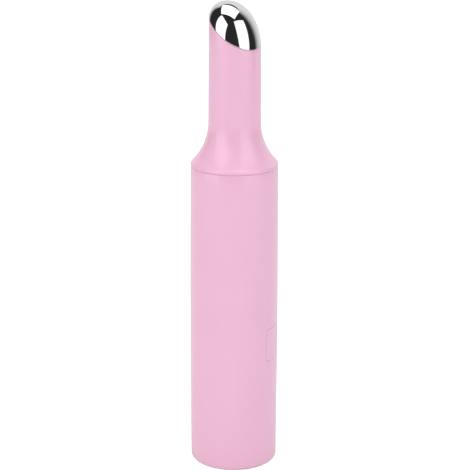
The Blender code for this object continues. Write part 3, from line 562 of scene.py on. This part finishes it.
def make_massage_head():
    """The polished cap: a leaning dome, taller on its low side, and its grooved hollow spigot."""
    base = rim_height - dome_drop
    profile = [(neck_radius * x, dome_height * z) for x, z in arc((0, 0), 1, pi / 2, 0, dome_steps)]
    profile[0] = (0, dome_height)
    profile += [(neck_radius, -neck_radius), (0, -neck_radius)]
    cap = spun(profile, fine_turn)
    for vert in cap.verts:
        vert.co.xy *= 1 + dome_spread * max(0, vert.co.xy.dot(uphill)) / neck_radius
        along = vert.co.xy.dot(uphill)
        share = max(0, vert.co.z) / dome_height
        vert.co.z += base + dome_lean * along - dome_forward * share * along / neck_radius
    rounded_edges(cap, cut_at_slant(cap, rim_height + rim_gap, True), dome_edge_round)
    hollow = spigot_radius - spigot_wall
    groove = spigot_radius - spigot_groove_depth
    seal_low, seal_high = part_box("head_seal")
    foot = head_low.z
    spigot = spun([(0, head_high.z), (spigot_radius, head_high.z),
                   (spigot_radius, seal_high.z + seal_play), (groove, seal_high.z + seal_play),
                   (groove, seal_low.z - seal_play), (spigot_radius, seal_low.z - seal_play),
                   (spigot_radius, foot), (hollow, foot), (hollow, foot + spigot_cavity),
                   (0, foot + spigot_cavity)], plain_turn)
    cut_at_slant(spigot, rim_height + 2 * rim_gap + spigot_wall, False)
    cap = combined(cap, spigot, "UNION")
    piece("massage_cap", cap, mirror_metal, "head_section", ["massage_head"])
    seal_ring("head_ring", "head_seal", groove, "head_section")


def make_button():
    """The oblong push button, its face following the barrel, with softly rounded edges."""
    face_radius = barrel_side(button_height) + button_crown
    bm = oblong(button_half_width, button_half_height, button_corner,
                face_radius - button_depth, face_radius)
    front = [
        e for e in bm.edges if all(v.co.y < -face_radius + weld_distance for v in e.verts)
    ]
    rounded_edges(bm, front, button_edge_round, rim_steps)
    for i in range(1 - button_cuts, button_cuts):
        share = i / button_cuts
        for place_at, normal in (
            ((button_half_width * share, 0, 0), (1, 0, 0)),
            ((0, 0, button_height + button_half_height * share), (0, 0, 1)),
        ):
            bmesh.ops.bisect_plane(
                bm, geom=bm.verts[:] + bm.edges[:] + bm.faces[:], dist=0,
                plane_co=place_at, plane_no=normal, clear_outer=False, clear_inner=False,
            )
    for vert in bm.verts:
        x, y, z = vert.co
        if y < -face_radius + weld_distance:
            across = max(0, 1 - (x / button_dish_width) ** 2)
            along = max(0, 1 - ((z - button_height) / button_dish_height) ** 4)
            vert.co.y += button_dish_depth * sqrt(across * along)
        vert.co.y += face_radius - sqrt(face_radius**2 - x**2)
    piece("button_cap", bm, pink_plastic, "button", ["power_button"])


def thread(root, crest, low, phase, pitch, turns, foot, lip):
    """A thread ridge: its section carried up a helix, and thinned out at both ends."""
    bm = bmesh.new()
    section = [(root, -foot / 2), (crest, -lip / 2), (crest, lip / 2), (root, foot / 2)]
    verts = [bm.verts.new((radius, 0, low + height)) for radius, height in section]
    first = bm.faces.new(verts)
    steps = round(plain_turn * turns)
    bmesh.ops.spin(
        bm, geom=[first], cent=(0, 0, 0), axis=(0, 0, 1),
        dvec=(0, 0, pitch / plain_turn), angle=2 * pi * turns, steps=steps,
        use_merge=False, use_normal_flip=False, use_duplicate=False,
    )
    length = pitch * turns
    run = thread_runout_share * length
    for vert in bm.verts:
        along = vert.co.z - low
        share = min(1, max(0, min(along, length - along) / run))
        radius = vert.co.xy.length
        vert.co.xy *= (root + (radius - root) * share) / radius
    bmesh.ops.rotate(bm, cent=(0, 0, 0), matrix=Matrix.Rotation(phase, 3, "Z"), verts=bm.verts)
    bmesh.ops.recalc_face_normals(bm, faces=bm.faces)
    return bm


def make_threads():
    """The collar's outer thread and, half a pitch off, the thread in the barrel's mouth."""
    low = collar_low.z + thread_root
    outer = thread(collar_radius - thread_sink, collar_radius + thread_height, low, 0,
                   thread_pitch, thread_turns, thread_root, thread_crest)
    piece("collar_thread", outer, white_plastic, "head_section")
    inner = thread(bore_radius + thread_sink, bore_radius - thread_height, low, pi,
                   thread_pitch, thread_turns, thread_root, thread_crest)
    piece("mouth_thread", inner, pink_plastic, "barrel")


def make_collar():
    """The collar under the neck, with softened edges, its seal groove and its ledge."""
    seal_low, seal_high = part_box("shoulder_seal")
    groove = collar_radius - seal_groove_depth
    step = neck_bottom + skirt_depth - seat_play
    disc_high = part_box("contact_board")[1]
    ledge = disc_high.z + seat_play
    web = collar_high.z - collar_web
    e = collar_edge
    outer = [
        (collar_top_radius - e, collar_high.z), (collar_top_radius, collar_high.z - e),
        (collar_top_radius, step), (collar_radius - e, step), (collar_radius, step - e),
        (collar_radius, seal_high.z + seal_play), (groove, seal_high.z + seal_play),
        (groove, seal_low.z - seal_play), (collar_radius, seal_low.z - seal_play),
        (collar_radius, collar_low.z + 2 * e), (collar_radius - 2 * e, collar_low.z),
    ]
    inner = [
        (collar_bore + e, collar_low.z), (collar_bore, collar_low.z + e),
        (collar_bore, ledge), (collar_bore - collar_ledge, ledge),
        (collar_bore - collar_ledge, ledge + collar_ledge),
        (collar_bore, ledge + 2 * collar_ledge), (collar_bore, web),
        (wire_hole, web), (wire_hole, collar_high.z),
    ]
    piece("collar", spun(outer + inner, fine_turn, closed=True), white_plastic,
          "head_section", ["threaded_collar"])
    seal_ring("shoulder_ring", "shoulder_seal", groove, "seal")


def make_contacts():
    """The round contact board with its centre and ring pads, seen when the neck is off."""
    for node, name, material, slot in (
        ("contact_board", "contact_disc", board_green, "board_green"),
        ("centre_contact", "centre_pad", gold_contact, "gold_contact"),
    ):
        low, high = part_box(node)
        e = pad_edge
        profile = [(0, high.z), (high.x - e, high.z), (high.x, high.z - e),
                   (high.x, low.z + e), (high.x - e, low.z), (0, low.z)]
        piece(name, spun(profile, plain_turn), material, "head_section", [node])
    low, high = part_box("ring_contact")
    inner = high.x - ring_pad_width
    e = pad_edge
    profile = [(inner + e, high.z), (high.x - e, high.z), (high.x, high.z - e),
               (high.x, low.z + e), (high.x - e, low.z), (inner + e, low.z),
               (inner, low.z + e), (inner, high.z - e)]
    piece("ring_pad", spun(profile, plain_turn, closed=True), gold_contact, "head_section",
          ["ring_contact"])


def make_cell():
    """The cell: a steel can with its nub, in a plain dark sleeve."""
    radius = cell_high.x
    shoulder = cell_high.z - cell_nub_height
    inner = radius - cell_sleeve
    e = cell_edge
    can = [
        (0, cell_high.z), (cell_nub - e / 2, cell_high.z), (cell_nub, cell_high.z - e / 2),
        (cell_nub, shoulder - e / 2), (inner - 2 * e, shoulder - e / 2),
        (inner, shoulder - 2 * e), (inner, cell_low.z + e), (inner - e, cell_low.z),
        (0, cell_low.z),
    ]
    piece("cell_can", spun(can, plain_turn), bright_steel, "battery",
          ["battery_cell"])
    lining = inner + cell_sleeve / 9
    sleeve = [(inner - cell_end_ring, shoulder), (inner - e / 2, shoulder)]
    sleeve += arc((radius - e, shoulder - e), e, pi / 2, 0, rim_steps)
    sleeve += arc((radius - e, cell_low.z + 2 * e), e, 0, -pi / 2, rim_steps)
    sleeve += [
        (inner - e, cell_low.z + e + cell_sleeve), (lining, cell_low.z + 2 * e),
        (lining, shoulder - 2 * e), (inner - e, shoulder - cell_sleeve),
        (inner - cell_end_ring, shoulder - cell_sleeve),
    ]
    piece("cell_sleeve", spun(sleeve, plain_turn, closed=True), cell_jacket, "battery")


def make_spring():
    """The tapered return spring between the chassis and the rising cell."""
    low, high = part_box("battery_spring")
    start = (spring_foot_radius, low.z + spring_wire)
    rise = high.z - low.z - 2 * spring_wire
    steps = coil_steps * spring_turns
    bm = bmesh.new()
    ring = bmesh.ops.create_circle(bm, cap_ends=True, segments=wire_sides, radius=spring_wire)
    place_at = Matrix.Translation((start[0], 0, start[1])) @ Matrix.Rotation(pi / 2, 4, "X")
    bmesh.ops.transform(bm, matrix=place_at, verts=ring["verts"])
    bmesh.ops.spin(
        bm, geom=bm.faces[:], cent=(0, 0, 0), axis=(0, 0, 1), dvec=(0, 0, rise / steps),
        angle=2 * pi * spring_turns, steps=steps, use_merge=False, use_normal_flip=False,
        use_duplicate=False,
    )
    bm.verts.index_update()
    for vert in bm.verts:
        share = (vert.index // wire_sides) / steps
        flat = vert.co.xy.length
        shift = (spring_top_radius - spring_foot_radius) * share
        vert.co.xy *= (flat + shift) / flat
    ends = [f for f in bm.faces if len(f.verts) == wire_sides]
    rim = [e for f in ends for e in f.edges]
    rounded_edges(bm, rim, spring_wire / 3, small_steps)
    bmesh.ops.recalc_face_normals(bm, faces=bm.faces)
    coil = as_object("battery_coil", bm)
    coil.data.materials.append(bright_steel)
    coil.data.shade_smooth()
    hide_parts("battery_spring")
    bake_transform(coil)


def make_screw(node, body):
    """A small pan-head screw with a driver slot and a thread, standing, hanging or lying."""
    low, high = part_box(node)
    middle = (low + high) / 2
    hangs = "collar" in node
    along_y = "board" in node
    if along_y:
        head = (high.z - low.z) / 2
        length = high.y - low.y
        crown = length * board_screw_head_share
    else:
        head = (high.x - low.x) / 2
        length = high.z - low.z
        crown = length * screw_head_share
    shank = head * screw_shank_share
    top = [(0, 0)] + [
        (head * sin(a), -crown * screw_head_crown * (1 - cos(a)))
        for a in [pi / 2 * i / round_steps for i in range(1, round_steps + 1)]
    ]
    profile = top + [(head, -crown), (shank, -crown), (shank, shank - length),
                     (shank / 3, -length), (0, -length)]
    bm = spun(profile, plain_turn // 2)
    blade = bmesh.new()
    bmesh.ops.create_cube(blade, size=1)
    bmesh.ops.scale(blade, vec=(3 * head, screw_slot_width, 2 * screw_slot_depth),
                    verts=blade.verts)
    bm = combined(bm, blade, "DIFFERENCE")
    turns = int((length - crown - 2 * shank) / screw_thread_pitch)
    if turns > 1:
        ridge = thread(shank * screw_root_share, shank * (1 + screw_thread_share),
                       shank - length, 0, screw_thread_pitch, turns,
                       screw_thread_pitch * screw_ridge_foot,
                       screw_thread_pitch * screw_ridge_lip)
        mesh = bpy.data.meshes.new("ridge")
        ridge.to_mesh(mesh)
        ridge.free()
        bm.from_mesh(mesh)
        bpy.data.meshes.remove(mesh)
    if along_y:
        turn, at = Matrix.Rotation(pi / 2, 4, "X"), (middle.x, low.y, middle.z)
    elif hangs:
        turn, at = Matrix.Rotation(pi, 4, "X"), (middle.x, middle.y, low.z)
    else:
        turn, at = Matrix.Identity(4), (middle.x, middle.y, high.z)
    bmesh.ops.transform(bm, matrix=Matrix.Translation(at) @ turn, verts=bm.verts)
    piece(node + "_slotted", bm, bright_steel, body, [node])


def make_board_parts():
    """Chip resistors on the control board: a dark body between two soldered end caps."""
    low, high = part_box("control_board")
    width, depth, height = resistor_size
    cap_size = (resistor_cap, depth * resistor_cap_swell, height * resistor_cap_swell)
    for number, (across, up) in enumerate(resistor_places, 1):
        at = Vector((across * high.x, low.y - depth / 2, low.z + (high.z - low.z) * up))
        body = bmesh.new()
        bmesh.ops.create_cube(body, size=1)
        bmesh.ops.scale(body, vec=resistor_size, verts=body.verts)
        caps = bmesh.new()
        for end in (-1, 1):
            cap = bmesh.ops.create_cube(caps, size=1)["verts"]
            bmesh.ops.scale(caps, vec=cap_size, verts=cap)
            bmesh.ops.translate(caps, vec=(end * width / 2, 0, 0), verts=cap)
        for bm, name, finish_of, slot in (
            (body, "chip_resistor_", black_plastic, "black_plastic"),
            (caps, "resistor_caps_", bright_steel, "spring_steel"),
        ):
            rounded_edges(bm, bm.edges[:], resistor_edge, small_steps)
            bmesh.ops.translate(bm, vec=at, verts=bm.verts)
            piece(name + str(number), bm, finish_of, "barrel")


def refined(node, name, material, body, crease=35.0):
    """A smooth-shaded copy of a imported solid, its loose triangles joined first."""
    bm = bmesh.new()
    bm.from_mesh(frame["nodes"][node].data)
    bmesh.ops.remove_doubles(bm, verts=bm.verts, dist=weld_distance)
    bmesh.ops.dissolve_limit(bm, angle_limit=flat_angle, verts=bm.verts, edges=bm.edges,
                             use_dissolve_boundaries=False)
    piece(name, bm, material, body, [node], crease)


def make_insides():
    """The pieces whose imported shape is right: they are joined, smoothed and given a finish."""
    bodies = {
        node: body for body, nodes in frame["record"]["behaviour"]["bodies"].items()
        for node in nodes
    }
    slots = {row["node"]: row["material_slot"] for row in frame["record"]["subparts"]}
    finishes = {
        "white_plastic": white_plastic, "board_green": board_green,
        "black_plastic": black_plastic, "black_rubber": black_rubber,
        "spring_steel": bright_steel, "gold_contact": gold_contact,
        "motor_steel": bright_steel, "tungsten": dark_metal, "ferrite": ferrite,
        "cell_jacket": cell_jacket, "red_wire": red_wire, "blue_wire": blue_wire,
    }
    done = {
        "barrel_shell", "neck_shell", "massage_head", "head_seal", "power_button",
        "threaded_collar", "shoulder_seal", "contact_board", "centre_contact",
        "ring_contact", "battery_cell", "battery_spring",
    }
    for node, slot in slots.items():
        if "screw" in node:
            make_screw(node, bodies[node])
        elif node not in done:
            refined(node, node + "_fine", finishes[slot], bodies[node])


def direction(around, up):
    """A direction by its angle around from the camera, to the photo's right, and its rise."""
    toward = Vector((sin(camera_azimuth), -cos(camera_azimuth), 0))
    right = Vector((cos(camera_azimuth), sin(camera_azimuth), 0))
    flat = toward * cos(around) + right * sin(around)
    return flat * cos(up) + Vector((0, 0, sin(up)))


def stage_material(name, shade, camera_glow, mirror_glow):
    """A pale stage surface, lifted to white for the camera and a little for mirror and glass."""
    made = bpy.data.materials.new(name)
    made.use_nodes = True
    nodes, links = made.node_tree.nodes, made.node_tree.links
    shader = nodes["Principled BSDF"]
    shader.inputs["Base Color"].default_value = (shade, shade, shade, 1)
    shader.inputs["Roughness"].default_value = 1.0
    shader.inputs["Specular IOR Level"].default_value = 0.0
    shader.inputs["Emission Color"].default_value = (1, 1, 1, 1)
    rays = nodes.new("ShaderNodeLightPath")
    mirror = nodes.new("ShaderNodeMath")
    mirror.operation = "MAXIMUM"
    links.new(rays.outputs["Is Glossy Ray"], mirror.inputs[0])
    links.new(rays.outputs["Is Transmission Ray"], mirror.inputs[1])
    low = nodes.new("ShaderNodeMath")
    low.operation = "MULTIPLY"
    low.inputs[1].default_value = mirror_glow
    links.new(mirror.outputs[0], low.inputs[0])
    level = nodes.new("ShaderNodeMath")
    level.operation = "MULTIPLY_ADD"
    level.inputs[1].default_value = camera_glow
    links.new(rays.outputs["Is Camera Ray"], level.inputs[0])
    links.new(low.outputs[0], level.inputs[2])
    links.new(level.outputs[0], shader.inputs["Emission Strength"])
    return made


def make_room():
    """The unlit room and the pale wall behind the object: only mirror-like surfaces see it."""
    bm = bmesh.new()
    bmesh.ops.create_grid(bm, x_segments=room_columns, y_segments=room_rows, size=1)
    for vert in bm.verts:
        around = pi * vert.co.x
        up = room_foot + (pi / 2 - room_foot) * (vert.co.y + 1) / 2
        vert.co = Vector((cos(around) * cos(up), sin(around) * cos(up), sin(up))) * room_radius
    tidied(bm)
    item = as_object("room", bm)
    toward = direction(0, 0)
    turn = Matrix((toward, direction(pi / 2, 0), (0, 0, 1))).transposed().to_4x4()
    item.matrix_world = Matrix.Translation(studio_middle) @ turn
    item.visible_camera = False
    item.visible_diffuse = False
    item.visible_shadow = False
    item.visible_transmission = False
    made = bpy.data.materials.new("room")
    made.use_nodes = True
    nodes, links = made.node_tree.nodes, made.node_tree.links
    nodes.remove(nodes["Principled BSDF"])
    place = nodes.new("ShaderNodeTexCoord")
    part = nodes.new("ShaderNodeSeparateXYZ")
    links.new(place.outputs["Object"], part.inputs["Vector"])
    angle = nodes.new("ShaderNodeMath")
    angle.operation = "ARCTAN2"
    links.new(part.outputs["Y"], angle.inputs[0])
    links.new(part.outputs["X"], angle.inputs[1])
    share = nodes.new("ShaderNodeMapRange")
    share.inputs["From Min"].default_value = -pi
    share.inputs["From Max"].default_value = pi
    links.new(angle.outputs[0], share.inputs["Value"])
    ramp = nodes.new("ShaderNodeValToRGB")
    stops = ramp.color_ramp.elements
    stops.remove(stops[0])
    stops[0].position = 0
    for around, level in room_wall:
        stop = stops.new(around / 360 + 0.5) if around > -180 else stops[0]
        stop.color = (level, level, level, 1)
    links.new(share.outputs["Result"], ramp.inputs["Fac"])
    height = nodes.new("ShaderNodeMapRange")
    height.interpolation_type = "SMOOTHSTEP"
    height.inputs["From Min"].default_value = room_radius * sin(room_wall_top + room_wall_fade)
    height.inputs["From Max"].default_value = room_radius * sin(room_wall_top)
    links.new(part.outputs["Z"], height.inputs["Value"])
    mix = nodes.new("ShaderNodeMix")
    mix.data_type = "RGBA"
    mix.inputs["A"].default_value = (room_dark, room_dark, room_dark * room_dark_blue, 1)
    links.new(height.outputs["Result"], mix.inputs["Factor"])
    links.new(ramp.outputs["Color"], mix.inputs["B"])
    glow = nodes.new("ShaderNodeEmission")
    links.new(mix.outputs["Result"], glow.inputs["Color"])
    links.new(glow.outputs["Emission"], nodes["Material Output"].inputs["Surface"])
    item.data.materials.append(made)


def soft_box(name, around, up, width, height, roll, radiance):
    """A rectangular soft light that faces the object, a metre away."""
    lamp = bpy.data.lights.new(name, "AREA")
    lamp.shape = "RECTANGLE"
    lamp.size = width
    lamp.size_y = height
    lamp.energy = radiance * pi * width * height
    item = bpy.data.objects.new(name, lamp)
    bpy.context.scene.collection.objects.link(item)
    toward = direction(radians(around), radians(up))
    item.location = studio_middle + toward
    turn = toward.to_track_quat("Z", "Y").to_matrix()
    turn = turn @ Matrix.Rotation(radians(roll), 3, "Z")
    item.rotation_euler = turn.to_euler()
    return item


def make_studio():
    """White table and floor, the room, three soft boxes, a fill from behind, and the world."""
    white = stage_material("floor_white", floor_shade, floor_glow, floor_mirror_glow)
    for name, inner, outer in (("table", 0.0, table_radius),
                               ("floor", table_radius, floor_radius)):
        top = as_object(name, spun([(inner, 0), (outer, 0)], plain_turn))
        top.data.flip_normals()
        top.data.materials.append(white)
    top.visible_glossy = False
    make_room()
    for row in soft_boxes:
        soft_box(*row)
    fill = soft_box(*backdrop_fill)
    fill.visible_glossy = False
    world = bpy.data.worlds.new("studio")
    bpy.context.scene.world = world
    world.use_nodes = True
    nodes, links = world.node_tree.nodes, world.node_tree.links
    back = nodes["Background"]
    back.inputs["Color"].default_value = (1, 1, 1, 1)
    rays = nodes.new("ShaderNodeLightPath")
    total = rays.outputs["Is Camera Ray"]
    for ray in ("Is Glossy Ray", "Is Transmission Ray"):
        both = nodes.new("ShaderNodeMath")
        both.operation = "MAXIMUM"
        links.new(total, both.inputs[0])
        links.new(rays.outputs[ray], both.inputs[1])
        total = both.outputs[0]
    level = nodes.new("ShaderNodeMapRange")
    level.inputs["To Min"].default_value = world_level
    level.inputs["To Max"].default_value = 1.0
    links.new(total, level.inputs["Value"])
    links.new(level.outputs["Result"], back.inputs["Strength"])


def make_camera():
    """The camera of the photograph."""
    lens = bpy.data.cameras.new("camera")
    lens.lens = camera_lens
    lens.sensor_width = 36.0
    lens.shift_x = camera_shift
    lens.clip_start = 0.01
    item = bpy.data.objects.new("camera", lens)
    bpy.context.scene.collection.objects.link(item)
    toward = direction(0, 0)
    item.location = toward * camera_reach + Vector((0, 0, camera_height))
    look = -toward * cos(camera_pitch) - Vector((0, 0, sin(camera_pitch)))
    turn = look.to_track_quat("-Z", "Y").to_matrix()
    turn = turn @ Matrix.Rotation(camera_roll, 3, "Z")
    item.rotation_euler = turn.to_euler()
    bpy.context.scene.camera = item


make_barrel()
make_neck()
make_massage_head()
make_button()
make_threads()
make_collar()
make_contacts()
make_cell()
make_spring()
make_board_parts()
make_insides()
make_studio()
make_camera()
bpy.context.scene.view_settings.view_transform = "Standard"
